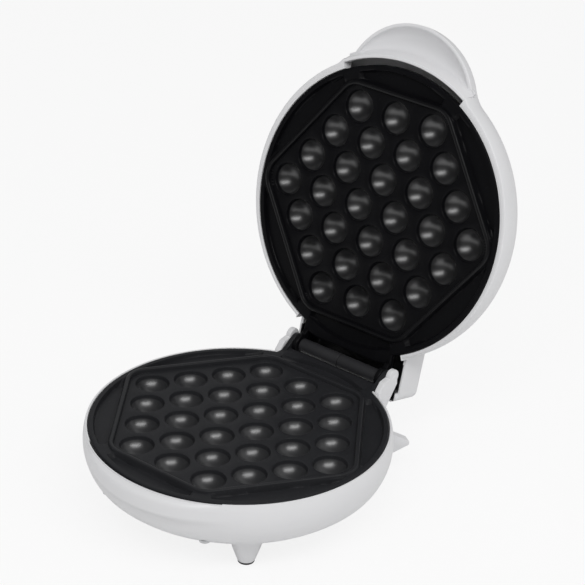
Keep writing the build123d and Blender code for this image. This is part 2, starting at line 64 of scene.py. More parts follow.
bpy.context.scene.collection.objects.link(camera)
bpy.context.scene.camera = camera


class Wire:
    """A value on its way through a finish's nodes; an operator on it adds the Math node of that operation."""

    def __init__(self, tree, socket):
        self.tree = tree
        self.socket = socket

    def node(self, kind, settings, sockets, output=0):
        """Any other node: its settings go in first, then a number or a link for each socket."""
        made = self.tree.nodes.new(kind)
        for name, value in settings.items():
            setattr(made, name, value)
        for name, value in sockets.items():
            if isinstance(value, Wire):
                self.tree.links.new(value.socket, made.inputs[name])
            else:
                made.inputs[name].default_value = value
        return Wire(self.tree, made.outputs[output])

    def math(self, operation, first, second=0.0):
        return self.node("ShaderNodeMath", {"operation": operation}, {0: first, 1: second})

    def __add__(self, other):
        return self.math("ADD", self, other)

    __radd__ = __add__

    def __sub__(self, other):
        return self.math("SUBTRACT", self, other)

    def __rsub__(self, other):
        return self.math("SUBTRACT", other, self)

    def __mul__(self, other):
        return self.math("MULTIPLY", self, other)

    __rmul__ = __mul__

    def noise(self, size, detail=2.0):
        """Cloudy noise from 0 to 1 whose patches are about size metres across."""
        return self.node("ShaderNodeTexNoise", {}, {"Vector": self, "Scale": 1 / size, "Detail": detail})

    def ramp(self, low, high):
        """0 below low, 1 above high, and smooth between."""
        settings = {"interpolation_type": "SMOOTHSTEP"}
        return self.node("ShaderNodeMapRange", settings, {"Value": self, "From Min": low, "From Max": high})

    def between(self, first, second):
        """The colour first where this value is 0 and second where it is 1."""
        sockets = {0: self, 6: (*first, 1), 7: (*second, 1)}
        return self.node("ShaderNodeMix", {"data_type": "RGBA"}, sockets, 2)

    def bump(self, depth, strength=1.0):
        """This value as a relief of the given depth in metres."""
        return self.node("ShaderNodeBump", {}, {"Height": self, "Distance": depth, "Strength": strength})


def new_finish(name, constants):
    """A material with one Principled shader whose steady values sit on its own sockets, and its Object
    coordinates."""
    material = bpy.data.materials.new(name)
    material.use_nodes = True
    tree = material.node_tree
    shader = tree.nodes["Principled BSDF"]
    for socket, value in constants.items():
        shader.inputs[socket].default_value = value
    place = tree.nodes.new("ShaderNodeTexCoord")
    return material, Wire(tree, place.outputs["Object"])


def feed(material, links):
    """Links what changes over the surface to the sockets of the finish's shader."""
    shader = material.node_tree.nodes["Principled BSDF"]
    for socket, wire in links.items():
        material.node_tree.links.new(wire.socket, shader.inputs[socket])


# The sweep of card under the appliance: matt and pale, white to the lens and dim in reflections, with only
# the appliance's own soft shadow left on it.
card_half = 1.4
card_shadow_share = 0.16
card_in_gloss = 0.12
card_level = 0.86
card_mottle = 0.02
card_mottle_size = 0.02
card_corners = [(card_half * x, card_half * y, 0) for x, y in ((-1, -1), (1, -1), (1, 1), (-1, 1))]
card_mesh = bpy.data.meshes.new("card")
card_mesh.from_pydata(card_corners, [], [(0, 1, 2, 3)])
card = bpy.data.objects.new("card", card_mesh)
bpy.context.scene.collection.objects.link(card)
card_finish, card_place = new_finish("card_paper", {"Roughness": 0.9, "Specular IOR Level": 0.1})
card_tone = card_place.noise(card_mottle_size).between((card_level,) * 3, (card_level + card_mottle,) * 3)
feed(card_finish, {"Base Color": card_tone})
card_tree = card_finish.node_tree
rays = card_tree.nodes.new("ShaderNodeLightPath")
seen = Wire(card_tree, rays.outputs["Is Camera Ray"])
seen = seen + Wire(card_tree, rays.outputs["Is Glossy Ray"]) * card_in_gloss
seen = seen + Wire(card_tree, rays.outputs["Is Transmission Ray"])
glow = seen.node("ShaderNodeEmission", {}, {"Color": (1, 1, 1, 1), "Strength": 1.0})
matt = Wire(card_tree, card_tree.nodes["Principled BSDF"].outputs["BSDF"])
glow_share = seen.math("MINIMUM", seen, 1.0) * (1 - card_shadow_share)
lit = seen.node("ShaderNodeMixShader", {}, {0: glow_share, 1: matt, 2: glow})
card_tree.links.new(lit.socket, card_tree.nodes["Material Output"].inputs["Surface"])
card_mesh.materials.append(card_finish)

# The room round the card: white to the lens and a pale even grey as a source of light. In reflections it is
# dark, but for the white wall behind the appliance.
room = bpy.data.worlds.new("room")
room.use_nodes = True
room_light = 0.58
room_in_gloss = 0.06
wall_in_gloss = 0.3
wall_start = 0.2
wall_full = 0.6
bpy.context.scene.world = room
room_rays = room.node_tree.nodes.new("ShaderNodeLightPath")
room_seen = Wire(room.node_tree, room_rays.outputs["Is Camera Ray"])
room_gloss = Wire(room.node_tree, room_rays.outputs["Is Glossy Ray"])
room_place = Wire(room.node_tree, room.node_tree.nodes.new("ShaderNodeTexCoord").outputs["Generated"])
room_rearward = room_place.node("ShaderNodeSeparateXYZ", {}, {"Vector": room_place}, 1)
room_wall = room_rearward.ramp(wall_start, wall_full) * wall_in_gloss
room_level = room_seen * (1 - room_light) + room_gloss * (room_wall + room_in_gloss - room_light) + room_light
room.node_tree.links.new(room_level.socket, room.node_tree.nodes["Background"].inputs["Strength"])
room.node_tree.nodes["Background"].inputs["Color"].default_value = (1, 1, 1, 1)

# The lamp: one long soft strip above and in front, a little to the right of the lens. The bright spot that it
# leaves in each cup is the one in the photograph.
strip_place = Vector((0.77, -0.61, 1.38))
strip_aim = Vector((0.0, 0.0, 0.12))
strip = bpy.data.lights.new("front_strip", "AREA")
strip.shape = "RECTANGLE"
strip.size = 1.9
strip.size_y = 0.4
strip.energy = 11.5
strip_holder = bpy.data.objects.new("front_strip", strip)
strip_holder.location = strip_place
strip_holder.rotation_euler = (strip_aim - strip_place).to_track_quat("-Z", "Y").to_euler()
bpy.context.scene.collection.objects.link(strip_holder)

# The base's cooking plate: an aluminium casting with thirty round cups inside a raised hexagonal ridge, six
# shallow pockets that catch spilt batter, and two hinge lugs, sprayed with a satin black release coat.
millimetre = 0.001
cup_pitch_across = 31.0
cup_pitch_along = 22.0
cups_in_rows = (3, 4, 5, 6, 5, 4, 3)
cup_radius = 11.5
cup_depth = 9.5
cup_rim_round = 0.8
cup_rim_inset = 0.15
cup_cell_step = 0.75
cup_back_root = 13.9
cup_back_end = 9.4
cup_back_depth = 12.9
cup_back_bevel = 0.6
web_depth = 1.0
plate_radius = 100.0
plate_thickness = 5.0
plate_edge_round = 1.0
plate_edge_land = 1.2
plate_edge_bevel = 0.5
plate_edge_under = 2.0
cavity_flat = 80.5
cavity_side = 78.5
cavity_corner = 14.0
ridge_width = 3.5
ridge_height = 1.8
ridge_profile = (
    (0, -web_depth), (0.25, 0.9), (0.5, 1.45), (1.0, 1.74), (1.75, ridge_height), (2.5, 1.74), (3.0, 1.45),
    (3.25, 0.9), (ridge_width, 0))
land_shares = (0.02, 0.05, 0.09, 0.15, 0.25, 0.4, 0.55, 0.7, 0.8, 0.87, 0.92, 0.96, 0.985, 1.0)
pocket_circle = 96.5
pocket_depth = 3.0
pocket_wall = 0.8
pocket_corner = 2.0
pocket_half_flat = 35.0
pocket_long_end = 47.0
pocket_short_end = 39.0
tongue_end = 101.4
tongue_corner = 3.0
base_lug_start = 38.1
base_lug_end = 41.4
base_lug_radius = 7.0
lug_root = 6.0
lug_step = 0.3
lug_edge = 0.5
pin_y = 109.24
pin_z = 0.55
shut_gap = 3.9
side_normal = math.atan2(cup_pitch_across / 2, cup_pitch_along)
side_angles = np.array([
    side_normal, math.pi / 2, math.pi - side_normal, math.pi + side_normal, 1.5 * math.pi, -side_normal])
side_normals = np.stack([np.cos(side_angles), np.sin(side_angles)], axis=1)
side_distances = np.array([cavity_side, cavity_flat, cavity_side, cavity_side, cavity_flat, cavity_side])
base_shift = np.array([0.0, -44.06, 60.0])


def in_base(points):
    """Points in millimetres from the middle of the base plate's face, moved into the whole object's frame in
    metres."""
    return (points + base_shift) * millimetre


def cup_middles():
    """The thirty cups: seven rows along y, each row's cups centred on x = 0."""
    first = -(len(cups_in_rows) - 1) / 2
    rows = []
    for row, count in enumerate(cups_in_rows):
        across = (np.arange(count) - (count - 1) / 2) * cup_pitch_across
        rows.append(np.stack([across, np.full(count, (first + row) * cup_pitch_along)], 1))
    return np.concatenate(rows)


def cavity_outline(steps):
    """The cavity's hexagon: at each corner an arc of the corner radius from one side's normal to the next."""
    corners = []
    for side in range(6):
        pair = [side, (side + 1) % 6]
        core = np.linalg.solve(side_normals[pair], side_distances[pair] - cavity_corner)
        start = side_angles[pair[0]]
        turn = (side_angles[pair[1]] - start) % (2 * math.pi)
        angles = start + turn * np.linspace(0, 1, steps)
        corners.append(core + cavity_corner * np.stack([np.cos(angles), np.sin(angles)], 1))
    return np.concatenate(corners)


def cut(polygon, normal, distance):
    """The part of a convex polygon where normal . p is at most distance."""
    side = polygon @ normal - distance
    kept = []
    for here, there, near, far in zip(polygon, np.roll(polygon, -1, 0), side, np.roll(side, -1)):
        if near <= 0:
            kept.append(here)
        if near * far < 0:
            kept.append(here + (there - here) * near / (near - far))
    return np.array(kept)


def cup_cells(outline, step):
    """Round each cup, the points of the cavity nearest to it, as a closed outline with points about step
    apart."""
    cells = []
    middles = cup_middles()
    edges = np.roll(outline, -1, 0) - outline
    normals = np.stack([edges[:, 1], -edges[:, 0]], 1)
    for middle in middles:
        cell = np.array([(-1, -1), (1, -1), (1, 1), (-1, 1)]) * 1.5 * plate_radius
        others = middles[np.linalg.norm(middles - middle, axis=1) > 1]
        for other in others[np.linalg.norm(others - middle, axis=1) < 1.5 * cup_pitch_across]:
            cell = cut(cell, other - middle, (other - middle) @ (other + middle) / 2)
        for point, normal in zip(outline, normals):
            if normal @ normal > 1e-9:
                cell = cut(cell, normal, normal @ point)
        sides = np.roll(cell, -1, 0) - cell
        counts = np.maximum(1, np.ceil(np.linalg.norm(sides, axis=1) / step).astype(int))
        runs = [a + s * (np.arange(n) / n)[:, None] for a, s, n in zip(cell, sides, counts)]
        cells.append((middle, np.concatenate(runs)))
    return cells


def on_cavity(points):
    """Each point's distance inside the cavity's rounded hexagon, and the direction straight out of it
    there."""
    over = points @ side_normals.T - (side_distances - cavity_corner)
    first = over.argmax(1)
    inward = np.sort(over, 1)
    best = side_normals[first]
    cores = []
    for side in range(6):
        pair = [side, (side + 1) % 6]
        cores.append(np.linalg.solve(side_normals[pair], side_distances[pair] - cavity_corner))
    away = points[:, None] - np.array(cores)[None]
    lengths = np.linalg.norm(away, axis=2)
    nearest = lengths.argmin(1)
    chosen = np.arange(len(points))
    corner = (inward[:, -2] > 1e-6)[:, None]
    direction = np.where(corner, away[chosen, nearest] / lengths[chosen, nearest][:, None], best)
    depth = cavity_corner - np.where(corner[:, 0], lengths[chosen, nearest], inward[:, -1])
    return depth, direction


def smooth_step(value):
    """0 below 0, 1 above 1, and 3v^2 - 2v^3 between."""
    v = np.clip(value, 0, 1)
    return v * v * (3 - 2 * v)


def pocket_floor(points):
    """The height of the plate's land: 0, and down to the pocket's floor inside six rounded outlines."""
    height = np.zeros(points.shape[:-1])
    one_way = (-pocket_long_end, pocket_short_end)
    other_way = (-pocket_short_end, pocket_long_end)
    flat_way = (-pocket_half_flat, pocket_half_flat)
    for side, (low, high) in enumerate((one_way, flat_way, other_way, one_way, flat_way, other_way)):
        normal = side_normals[side]
        along = points @ np.array([-normal[1], normal[0]])
        out = points @ normal
        start = side_distances[side] + ridge_width
        beyond = [start - out, np.linalg.norm(points, axis=-1) - pocket_circle, low - along, along - high]
        past = np.stack([value + pocket_corner for value in beyond])
        outside = np.linalg.norm(np.maximum(past, 0), axis=0) + np.minimum(past.max(0), 0) - pocket_corner
        height = np.minimum(height, -pocket_depth * smooth_step(-outside / pocket_wall))
    return height


def rounded_reach(angles, half_width):
    """How far the plate reaches in each direction: the disc joined to its rear tongue, found by halving."""
    low = np.full(angles.shape, plate_radius - 1)
    high = np.full(angles.shape, plate_radius + 20)
    half = np.array([half_width, tongue_end / 2])
    for _ in range(30):
        reach = (low + high) / 2
        point = np.stack([reach * np.cos(angles), reach * np.sin(angles)], -1)
        over = np.abs(point - (0, tongue_end / 2)) - half + tongue_corner
        tongue = np.linalg.norm(np.maximum(over, 0), axis=-1) + np.minimum(over.max(-1), 0) - tongue_corner
        inside = np.minimum(reach - plate_radius, tongue) < 0
        low = np.where(inside, reach, low)
        high = np.where(inside, high, reach)
    return low


def plate_patches(half_width):
    """A whole plate, face up at z = 0: for each cup rings of a bowl out to its cell, then one band from the
    cavity's edge over the ridge, across land and pockets, round the rim and back underneath, and rings behind
    each cup."""
    cells = cup_cells(cavity_outline(9), cup_cell_step)
    bowl_radius = (cup_radius ** 2 + cup_depth ** 2) / (2 * cup_depth)
    wall_end = math.asin((cup_radius - cup_rim_inset) / bowl_radius)
    bowl = np.linspace(0, wall_end, 10)
    lip = np.radians(np.linspace(180 - math.degrees(math.pi / 2 - wall_end), 90, 5))
    lip_middle = cup_radius - cup_rim_inset + cup_rim_round * -math.cos(lip[0])
    ring = np.concatenate([bowl_radius * np.sin(bowl), lip_middle + cup_rim_round * np.cos(lip)])
    depth = np.concatenate([
        bowl_radius - cup_depth - bowl_radius * np.cos(bowl),
        cup_rim_round * np.sin(lip) - cup_rim_round,
    ]) - web_depth
    back_ring = np.array([0.0, cup_back_end - 1, cup_back_end, cup_back_root])
    back_depth = -np.array([cup_back_depth, cup_back_depth, cup_back_depth - cup_back_bevel, plate_thickness])
    patches = []
    borders = []
    for centre, border in cells:
        away = border - centre
        unit = away / np.linalg.norm(away, axis=1)[:, None]
        for radii, heights, edge in ((ring, depth, -web_depth), (back_ring, back_depth, -plate_thickness)):
            flat = centre + radii[:, None, None] * unit
            rows = np.concatenate([flat, border[None]])
            tall = np.concatenate([heights, [edge]])[:, None, None] * np.ones(rows[..., :1].shape)
            patches.append((np.concatenate([rows, tall], 2), True))
        borders.append(border)
    edge = np.concatenate(borders)
    depth_in, direction = on_cavity(edge)
    on_edge = np.abs(depth_in) < 1e-3
    edge, direction = edge[on_edge], direction[on_edge]
    _, first = np.unique(np.round(edge, 3), axis=0, return_index=True)
    edge, direction = edge[first], direction[first]
    order = np.argsort(np.arctan2(edge[:, 1], edge[:, 0]))
    edge, direction = edge[order], direction[order]
    rows = [
        np.concatenate([edge + out * direction, np.full((len(edge), 1), float(up))], 1)
        for out, up in ridge_profile
    ]
    foot = edge + ridge_width * direction
    angle = np.arctan2(foot[:, 1], foot[:, 0])
    ray = np.stack([np.cos(angle), np.sin(angle)], 1)
    for share in land_shares:
        point = foot + share * (pocket_circle * ray - foot)
        rows.append(np.concatenate([point, pocket_floor(point)[:, None]], 1))
    reach = rounded_reach(angle, half_width)
    turn = np.radians(np.linspace(0, 90, 5))
    rim_in = np.concatenate([
        [plate_edge_round + plate_edge_land], plate_edge_round * (1 - np.sin(turn)),
        [0, plate_edge_bevel, plate_edge_under]])
    rim_z = np.concatenate([
        [0], -plate_edge_round * (1 - np.cos(turn)),
        [plate_edge_bevel - plate_thickness, -plate_thickness, -plate_thickness]])
    for inward, z in zip(rim_in, rim_z):
        rows.append(np.concatenate([(reach - inward)[:, None] * ray, np.full((len(edge), 1), z)], 1))
    rows.append(np.concatenate([edge, np.full((len(edge), 1), -plate_thickness)], 1))
    patches.append((np.stack(rows), True))
    return patches


def around(points):
    """The tightest convex outline round a set of points, turning left all the way."""
    ordered = sorted(map(tuple, points))
    outline = []
    for run in (ordered, ordered[::-1]):
        part = []
        for point in run:
            while len(part) > 1:
                run_in, run_out = np.subtract(part[-1], part[-2]), np.subtract(point, part[-2])
                if run_in[0] * run_out[1] - run_in[1] * run_out[0] > 0:
                    break
                part.pop()
            part.append(point)
        outline += part[:-1]
    return np.array(outline)


def spread(outline, step):
    """The same closed outline with its long runs divided, so that points lie at most step apart."""
    runs = np.roll(outline, -1, 0) - outline
    counts = np.maximum(1, np.ceil(np.linalg.norm(runs, axis=1) / step).astype(int))
    return np.concatenate([a + r * (np.arange(n) / n)[:, None] for a, r, n in zip(outline, runs, counts)])


def slab(outline, low, high, edge):
    """A flat part across x: its outline in y and z, carried from low to high, set in by a quarter circle at
    both ends."""
    after = np.roll(outline, -1, 0) - outline
    after /= np.linalg.norm(after, axis=1)[:, None]
    before = np.roll(after, 1, 0)
    normals = np.stack([after[:, 1] + before[:, 1], -after[:, 0] - before[:, 0]], 1)
    normals /= 1 + (after * before).sum(1)[:, None]
    turn = np.radians(np.linspace(0, 90, 5))
    inset = np.concatenate([edge * (1 - np.sin(turn)), edge * (1 - np.cos(turn))])
    across = np.concatenate([low + edge * (1 - np.cos(turn)), high - edge * (1 - np.sin(turn))])
    centre = outline.mean(0)
    rows = []
    for x, inward in [(low, None), *zip(across, inset), (high, None)]:
        flat = np.tile(centre, (len(outline), 1)) if inward is None else outline - inward * normals
        rows.append(np.concatenate([np.full((len(outline), 1), x), flat], 1))
    return np.stack(rows), True


def circle(y, z, radius, count=72):
    """Points evenly round a circle."""
    angles = np.linspace(0, 2 * math.pi, count, endpoint=False)
    return np.stack([y + radius * np.cos(angles), z + radius * np.sin(angles)], 1)


def lug(low, high, radius, root_low, drop):
    """A hinge lug: the outline round the eye on the pin and the root of the arm at the plate's rear edge.
    What would lie in front of the eye and under the arm is pushed back to the nearer of the two, so that the
    lugs pass each other."""
    root = tongue_end - lug_root
    high_edge = root_low + plate_thickness
    arm = np.array([
        (root, root_low + plate_thickness / 2),
        (tongue_end, root_low),
        (tongue_end, high_edge),
        (root, high_edge),
    ])
    outline = spread(around(np.concatenate([circle(pin_y, pin_z, radius), arm])), lug_step)
    forward_by = pin_y - radius - outline[:, 0]
    below_by = root_low - outline[:, 1]
    under_arm = (forward_by > 0) & (below_by > 0)
    outline[:, 0] += np.where(under_arm & (forward_by < below_by), forward_by, 0)
    outline[:, 1] += np.where(under_arm & (forward_by >= below_by), below_by, 0)
    return slab(outline - (0, drop), low, high, lug_edge)


def lug_pair(start, end, radius, root_low, drop):
    """The same lug at both ends of the pin."""
    return [lug(low, high, radius, root_low, drop) for low, high in ((start, end), (-end, -start))]


join_reach = 0.000004
sharp_turn = math.radians(50)


def make_piece(name, patches, place, body, finish, slot, *nodes):
    """One mesh from patches, each rows and columns of points, closed round the columns where it says so.
    Points that meet are joined, faces are turned outwards, and the piece is dressed, tied to its body and put
    in for its nodes."""
    starts, points, quads = 0, [], []
    for grid, closed in patches:
        rows, columns = grid.shape[:2]
        first = np.arange(rows - 1)[:, None] * columns
        column = np.arange(columns if closed else columns - 1)[None]
        following = (column + 1) % columns
        quad = np.stack([
            first + column, first + following, first + columns + following, first + columns + column], -1)
        quads.append(quad.reshape(-1, 4) + starts)
        points.append(place(grid.reshape(-1, 3)))
        starts += rows * columns
    points = np.concatenate(points)
    quads = np.concatenate(quads).astype(np.int32)
    mesh = bpy.data.meshes.new(name)
    mesh.vertices.add(len(points))
    mesh.vertices.foreach_set("co", points.astype(np.float32).ravel())
    mesh.loops.add(quads.size)
    mesh.loops.foreach_set("vertex_index", quads.ravel())
    mesh.polygons.add(len(quads))
    mesh.polygons.foreach_set("loop_start", np.arange(0, quads.size, 4, dtype=np.int32))
    mesh.update(calc_edges=True)
    working = bmesh.new()
    working.from_mesh(mesh)
    bmesh.ops.remove_doubles(working, verts=working.verts, dist=join_reach)
    bmesh.ops.recalc_face_normals(working, faces=working.faces)
    working.to_mesh(mesh)
    working.free()
    mesh.polygons.foreach_set("use_smooth", np.ones(len(mesh.polygons), bool))
    mesh.set_sharp_from_angle(angle=sharp_turn)
    mesh.materials.append(finish)
    piece = bpy.data.objects.new(name, mesh)
    bpy.context.scene.collection.objects.link(piece)
    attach(piece, body)
    if nodes:
        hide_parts(*nodes)
    return piece


cup_gloss_depths = (0.0031, 0.0042)
ridge_gloss_heights = (0.0013, 0.0018)
ridge_gloss_share = 0.12
pebble_size = 0.0009
pebble_depth = 0.00006
speck_size = 0.0016
cloud_size = 0.03


def release_coat(name, middle, face, tone, paler):
    """Sprayed black release coat: a fine pebbled skin with faint paler specks. It is matt on the land, and
    glossy where it ran together or is rubbed smooth: by height over the face, in the cups and on the
    ridge."""
    coat, place = new_finish(name, {"Specular IOR Level": 0.12, "Coat Roughness": 0.35, "Coat IOR": 2.1})
    offset = place.node("ShaderNodeVectorMath", {"operation": "SUBTRACT"}, {0: place, 1: tuple(middle)})
    height = place.node("ShaderNodeVectorMath", {"operation": "DOT_PRODUCT"}, {0: offset, 1: tuple(face)}, 1)
    in_cups = (height * -1).ramp(*cup_gloss_depths)
    on_ridge = height.ramp(*ridge_gloss_heights) * ridge_gloss_share
    pebble = place.noise(pebble_size, 3)
    speck = place.noise(speck_size, 1).ramp(0.66, 0.74)
    cloud = place.noise(cloud_size, 3)
    feed(coat, {
        "Base Color": (speck * 0.6 + cloud * 0.4).between(tone, paler),
        "Roughness": cloud * 0.08 + speck * 0.06 + 0.32,
        "Coat Weight": place.math("MAXIMUM", in_cups, on_ridge),
        "Normal": pebble.bump(pebble_depth, 0.5),
    })
    return coat


# Painted light: both plates wear one coat, but the base's is coloured lighter than the lid's, for the room
# light that its upturned face catches.
base_coat_painted_lit_tone = (0.018, 0.0184, 0.0205)
base_coat_painted_lit_paler = (0.034, 0.0345, 0.0375)
base_coat = release_coat(
    "base_release_coat", in_base(np.zeros(3)), (0, 0, 1), base_coat_painted_lit_tone, base_coat_painted_lit_paler)
base_lugs = lug_pair(base_lug_start, base_lug_end, base_lug_radius, -plate_thickness, 0)
base_casting = plate_patches(base_lug_end) + base_lugs
make_piece("base_plate_casting", base_casting, in_base, "base", base_coat, "non_stick", "base_plate")

# The lid's cooking plate: the same casting turned face down, with its two lugs inside the base's lugs. It
# rides on the lid, drawn shut and then swung open about the hinge pin.
lid_lug_start = 34.3
lid_lug_end = 37.8
lid_lug_radius = 7.5
# Painted shade: the lid's coat is coloured darker than the base's same coat, for the little light that its
# front-turned face catches.
lid_coat_painted_shade_tone = (0.003, 0.003, 0.0038)
lid_coat_painted_shade_paler = (0.009, 0.009, 0.0105)
open_angle = math.radians(104.76)


def in_lid(points):
    """Points in millimetres in the shut lid, lifted by the shut gap, swung back about the pin, and moved with
    the base."""
    y = points[:, 1] - pin_y
    z = points[:, 2] + shut_gap - pin_z
    swung_y = y * math.cos(open_angle) + z * math.sin(open_angle) + pin_y
    swung_z = z * math.cos(open_angle) - y * math.sin(open_angle) + pin_z
    return in_base(np.stack([points[:, 0], swung_y, swung_z], 1))


lid_middle, lid_out = in_lid(np.array([(0.0, 0.0, 0.0), (0.0, 0.0, -1.0)]))
lid_face = (lid_out - lid_middle) / millimetre
lid_coat = release_coat("lid_release_coat", lid_middle, lid_face, lid_coat_painted_shade_tone, lid_coat_painted_shade_paler)
lid_casting = [(grid * (1, 1, -1), closed) for grid, closed in plate_patches(lid_lug_end)]
lid_casting += lug_pair(lid_lug_start, lid_lug_end, lid_lug_radius, shut_gap, shut_gap)
make_piece("lid_plate_casting", lid_casting, in_lid, "lid", lid_coat, "non_stick", "lid_plate")

# Every moulded cover: glossy white plastic with a faint moulded grain. The base's bowl is one shell: a
# shallow dish with a thumb band bulging at the front, a seat for the plate, and a notch at the rear for the
# plate's tongue.
base_depth = 48.5
base_arcs = ((2900.0, 1.13), (57.8, 43.0), (17.6, 60.0), (34.9, 150.0))
base_wall = 2.6
base_rim = -0.4
seat_top = 5.2
seat_bottom = 8.2
seat_radius = 98.0
plate_bore = 100.4
thumb_radius = 87.5
thumb_middle_y = -20.3
thumb_top = -1.2
thumb_bottom = -15.5
thumb_round = 3.6
thumb_blend = 2.2
thumb_half_width = 58.0
thumb_bore = 102.2
notch_half = 41.8
notch_circle = 103.0
notch_step = 0.5
rim_round = 0.7
rim_curve = ((0.02, 0.6), (0.12, 0.32), (0.32, 0.1), (0.62, 0.0))
rim_pair = 0.0004
white_tone = (0.74, 0.74, 0.755)
white_paler = (0.78, 0.78, 0.79)
# Painted shade: the near black put in place of the white inside the lid's hinge box, and the width of its
# soft edge in metres.
painted_shade_tone = (0.006, 0.006, 0.007)
painted_shade_paler = (0.012, 0.012, 0.013)
painted_shade_edge = 0.0006
halvings = 26
far_out = 200.0


def white_plastic(name, hollow=None):
    """Glossy moulded white: a hint of flow in its tone and gloss, and a grain far finer than a millimetre.
    Given a
    hollow, as a middle, three directions from it and the half size along each, shade is painted inside it:
    near black in place of the white, for the shade that fills the hinge box."""
    plastic, place = new_finish(name, {"Specular IOR Level": 0.5})
    grain = place.noise(0.0011, 2)
    flow = place.noise(0.05, 2)
    tone = flow.between(white_tone, white_paler)
    if hollow:
        middle, sides, halves = hollow
        offset = place.node("ShaderNodeVectorMath", {"operation": "SUBTRACT"}, {0: place, 1: tuple(middle)})
        # Painted shade: within the hollow the white tone is swapped for near black, the shade inside the
        # hinge box.
        inside = 1.0
        for side, half in zip(sides, halves):
            dot = {"operation": "DOT_PRODUCT"}
            away = place.node("ShaderNodeVectorMath", dot, {0: offset, 1: tuple(side)}, 1)
            inside = inside * (1 - place.math("ABSOLUTE", away).ramp(half, half + painted_shade_edge))
        dark = flow.between(painted_shade_tone, painted_shade_paler)
        tone = place.node("ShaderNodeMix", {"data_type": "RGBA"}, {0: inside, 6: tone, 7: dark}, 2)
    feed(plastic, {
        "Base Color": tone,
        "Roughness": flow * 0.08 + grain * 0.04 + 0.26,
        "Normal": grain.bump(0.00003, 0.35),
    })
    return plastic


def arc_distance(radius, height, crown, arcs):
    """How far a point lies outside a turned cover. The cover's section is a chain of tangent arcs from the
    crown down, each given by its radius and the angle from upright at which it ends; the distance is to the
    nearest of them."""
    centre = np.array([0.0, crown - arcs[0][0]])
    start = 0.0
    nearest = np.full(np.shape(radius), np.inf)
    for step, (arc_radius, end) in enumerate(arcs):
        stop = math.radians(end)
        out, up = radius - centre[0], height - centre[1]
        angle = np.clip(np.arctan2(out, up), start, stop)
        gap_out = out - arc_radius * np.sin(angle)
        gap_up = up - arc_radius * np.cos(angle)
        inward = gap_out * np.sin(angle) + gap_up * np.cos(angle) < 0
        signed = np.hypot(gap_out, gap_up) * np.where(inward, -1, 1)
        nearest = np.where(np.abs(signed) < np.abs(nearest), signed, nearest)
        if step + 1 < len(arcs):
            smaller_by = arc_radius - arcs[step + 1][0]
            centre = centre + smaller_by * np.array([math.sin(stop), math.cos(stop)])
        start = stop
    return nearest


def rounded_box_distance(offsets, halves, corner):
    """How far a point lies outside a box with rounded edges, from its offsets to the box's middle on each
    axis."""
    over = np.stack([np.abs(offset) - half + corner for offset, half in zip(offsets, halves)])
    return np.linalg.norm(np.maximum(over, 0), axis=0) + np.minimum(over.max(0), 0) - corner


def melt(first, second, reach):
    """The nearer of two distances, with a fillet of about reach where they meet."""
    share = np.clip(0.5 + 0.5 * (second - first) / reach, 0, 1)
    return second + (first - second) * share - reach * share * (1 - share)


def base_skin(x, y, z):
    """Distance outside the bowl joined to its thumb band."""
    bowl = arc_distance(np.hypot(x, y), -z, base_depth, base_arcs)
    half = (thumb_top - thumb_bottom) / 2
    offsets = (np.hypot(x, y - thumb_middle_y), z - (thumb_top + thumb_bottom) / 2)
    band = rounded_box_distance(offsets, (thumb_radius, half), thumb_round)
    return melt(bowl, band, thumb_blend)


def cast(distance, azimuth, tilt, start_z, upward, depth):
    """The points where rays leave a solid. Each ray starts on the axis at start_z, turned by azimuth and
    tilted from the vertical; halving finds where the distance outside the solid equals -depth."""
    low = np.zeros(np.broadcast(azimuth, tilt).shape)
    high = np.full(low.shape, far_out)
    for _ in range(halvings):
        reach = (low + high) / 2
        x = reach * np.sin(tilt) * np.cos(azimuth)
        y = reach * np.sin(tilt) * np.sin(azimuth)
        z = start_z + upward * reach * np.cos(tilt)
        inside = distance(x, y, z) < -depth
        low = np.where(inside, reach, low)
        high = np.where(inside, high, reach)
    return np.stack([x, y, z], -1)


def shell(distance, azimuth, outer_tilt, inner_tilt, rim_z, inner_z, upward, wall, ledge):
    """A closed moulded shell: the outside from the crown to the rim, a rounded rim, the ledge that seats the
    plate as radius and height pairs, and the inside back to the crown."""
    outer = cast(distance, azimuth[None], outer_tilt[:, None], rim_z[None], upward, 0.0)
    inner = cast(distance, azimuth[None], inner_tilt[:, None], inner_z[None], upward, wall)
    ray = np.stack([np.cos(azimuth), np.sin(azimuth)], 1)
    edge = np.linalg.norm(outer[-1, :, :2], axis=1)
    rim = []
    for inward, lift in rim_curve:
        radius = edge - inward * rim_round
        rim.append(np.concatenate([radius[:, None] * ray, (rim_z + upward * lift * rim_round)[:, None]], 1))
    for radius, height in ledge:
        rim.append(np.concatenate([radius[:, None] * ray, height[:, None]], 1))
    return np.concatenate([outer[:-1], np.stack(rim), inner])


def at_steps(*edges):
    """Directions one degree apart all round, with a close pair at each edge where the rim steps."""
    pairs = [edge + side for edge in edges for side in (-rim_pair, rim_pair)]
    return np.unique(np.concatenate([np.radians(np.arange(0, 360, 1.0)) - math.pi, pairs]))


